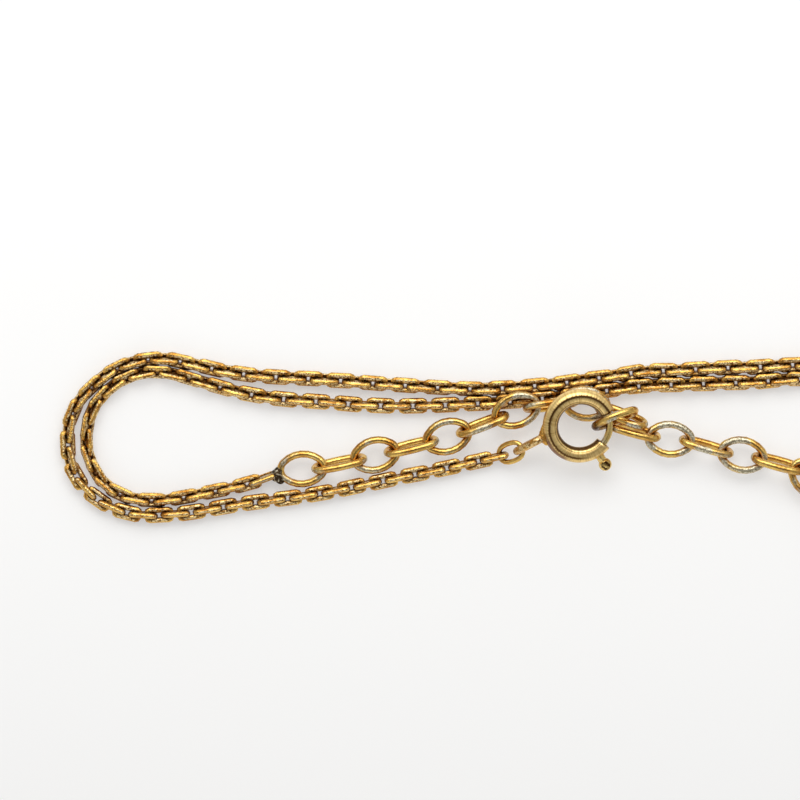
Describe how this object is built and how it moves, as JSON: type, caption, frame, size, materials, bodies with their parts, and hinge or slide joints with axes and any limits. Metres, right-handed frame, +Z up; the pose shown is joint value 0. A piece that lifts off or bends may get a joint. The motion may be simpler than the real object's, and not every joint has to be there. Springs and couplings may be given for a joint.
{
  "type": "heart pendant necklace",
  "caption": "Fine flattened cable chain necklace laid doubled, with a spring ring clasp hooked into a chain extender and a puffed heart pendant on a bail.",
  "frame": {"origin": "middle of the footprint of the laid necklace, on the table's surface", "axes": "+X along the doubled necklace, from the turn beside the clasp to the heart; +Y away from the viewer as in the picture; +Z up off the table"},
  "size_m": [0.1747, 0.0203, 0.0055],
  "materials": {
    "chain_gold": "polished, worn",
    "extender_gold": "polished",
    "clasp_gold": "satin",
    "bolt_gold": "polished",
    "pendant_gold": "polished"
  },
  "bodies": {
    "necklace": {"fine_chain": "chain_gold", "extender_end": "extender_gold", "clasp_ring": "clasp_gold", "clasp_link": "extender_gold", "bail": "pendant_gold", "heart": "pendant_gold", "extender_link_2": "extender_gold", "extender_link_3": "extender_gold", "extender_link_4": "extender_gold", "extender_link_5": "extender_gold", "extender_link_6": "extender_gold", "extender_link_7": "extender_gold", "extender_link_8": "extender_gold", "extender_link_9": "extender_gold", "extender_link_10": "extender_gold", "extender_link_11": "extender_gold", "extender_link_12": "extender_gold", "extender_link_13": "extender_gold", "extender_link_14": "extender_gold", "extender_link_15": "extender_gold", "extender_link_16": "extender_gold", "extender_link_17": "extender_gold", "extender_link_18": "extender_gold", "extender_link_19": "extender_gold"},
    "bolt": {"clasp_bolt": "bolt_gold"}
  },
  "joints": [
    {"name": "bolt_slide", "type": "hinge", "parent": "necklace", "child": "bolt", "pos_m": [-0.02989, 0.00122, 0.00385], "axis": [0.097, -0.24, 0.9659], "range_deg": [-55, 0], "stiffness_Nm_per_rad": 0.004, "springref_deg": 40.11}
  ]
}
